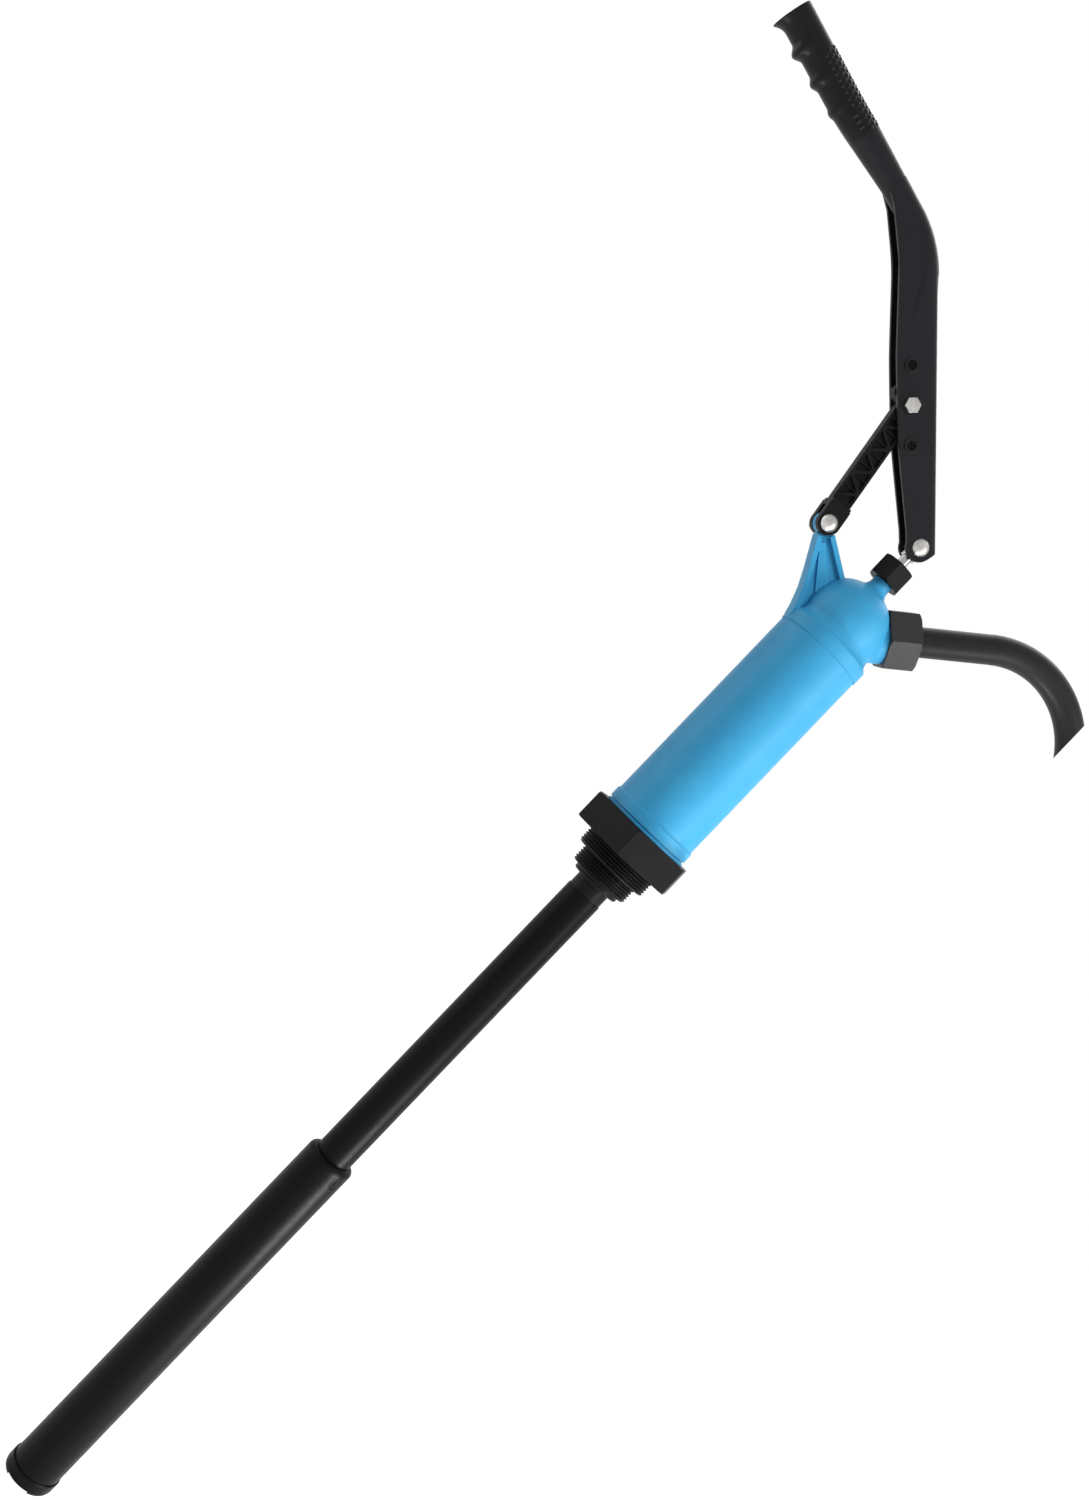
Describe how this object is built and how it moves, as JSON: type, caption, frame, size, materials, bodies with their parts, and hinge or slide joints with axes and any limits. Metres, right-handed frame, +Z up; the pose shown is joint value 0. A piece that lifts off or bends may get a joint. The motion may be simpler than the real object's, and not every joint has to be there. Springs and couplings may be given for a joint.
{
  "type": "lever action barrel pump",
  "caption": "Hand piston pump for drums: lever and link over a round barrel, angled outlet with a swivelling spout, bung adapter and telescopic suction tube.",
  "frame": {"origin": "on the pump's axis, in the plane where the bung hexagon's underside seats on the drum", "axes": "+Z up along the barrel, away from the drum; +X horizontal towards the outlet, in the plane that the lever swings in; +Y completes the right-handed frame"},
  "size_m": [0.5057, 0.087, 1.0903],
  "materials": {
    "blue_plastic": "satin moulded polypropylene",
    "black_fitting": "fine textured moulding",
    "black_nylon": "fine textured moulding",
    "black_grip": "knurled moulding",
    "black_screw": "blackened",
    "black_tube": "smooth extruded tube",
    "black_spout": "smooth bent tube",
    "rubber": "moulded rubber",
    "cream_plastic": "turned plastic",
    "steel_rod": "ground stainless steel",
    "zinc_bolt": "bright zinc plated"
  },
  "bodies": {
    "pump": {"barrel": "blue_plastic", "pump_head": "blue_plastic", "gland_nut": "black_fitting", "gland_packing": "rubber", "bung_adapter": "black_fitting", "barrel_seal": "rubber", "head_seal": "rubber", "foot_valve_seat": "cream_plastic", "foot_valve_cage": "cream_plastic", "upper_tube": "black_tube", "tube_stop": "black_tube", "tube_oring": "rubber", "outlet_nut": "black_fitting", "outlet_gasket": "rubber", "fulcrum_bolt": "zinc_bolt", "fulcrum_nut": "zinc_bolt"},
    "rod": {"piston_rod": "steel_rod", "rod_eye": "steel_rod", "piston_body": "cream_plastic", "piston_seal": "rubber", "piston_retainer": "cream_plastic", "piston_nut": "steel_rod", "valve_stop_nut": "steel_rod"},
    "piston_valve": {"piston_valve_disc": "rubber"},
    "foot_valve": {"foot_valve_disc": "rubber"},
    "lever": {"lever_arm": "black_nylon", "hand_grip": "black_grip", "rod_bolt": "zinc_bolt", "rod_bolt_nut": "zinc_bolt", "link_bolt": "zinc_bolt", "link_bolt_nut": "zinc_bolt", "pin_spacers": "cream_plastic", "cheek_spacers": "black_nylon", "cheek_screws": "black_screw"},
    "link": {"link_arm": "black_nylon"},
    "suction_tube": {"lower_tube": "black_tube", "lock_screw": "black_screw", "foot_strainer": "black_tube"},
    "spout": {"spout_tube": "black_spout"}
  },
  "joints": [
    {"name": "rod_slide", "type": "slide", "parent": "pump", "child": "rod", "axis": [0, 0, 1], "range_m": [0, 0.083]},
    {"name": "lever_swing", "type": "hinge", "parent": "rod", "child": "lever", "pos_m": [0, 0, 0.3], "axis": [0, -1, 0], "range_deg": [0, 55]},
    {"name": "link_swing", "type": "hinge", "parent": "pump", "child": "link", "pos_m": [-0.06, 0, 0.264], "axis": [0, -1, 0], "range_deg": [0, 10.64]},
    {"name": "piston_valve_lift", "type": "slide", "parent": "rod", "child": "piston_valve", "axis": [0, 0, 1], "range_m": [0, 0.004]},
    {"name": "foot_valve_lift", "type": "slide", "parent": "pump", "child": "foot_valve", "axis": [0, 0, 1], "range_m": [0, 0.005]},
    {"name": "suction_extend", "type": "slide", "parent": "pump", "child": "suction_tube", "axis": [0, 0, 1], "range_m": [0, 0.245]},
    {"name": "spout_turn", "type": "hinge", "parent": "pump", "child": "spout", "pos_m": [0, 0, 0.216], "axis": [0.7837, 0, 0.6211], "continuous": true}
  ],
  "couplings": [
    {"joint": "rod_slide", "follows": "lever_swing", "m_per_rad": 0.08639},
    {"joint": "link_swing", "follows": "lever_swing", "ratio": 0.1934}
  ]
}
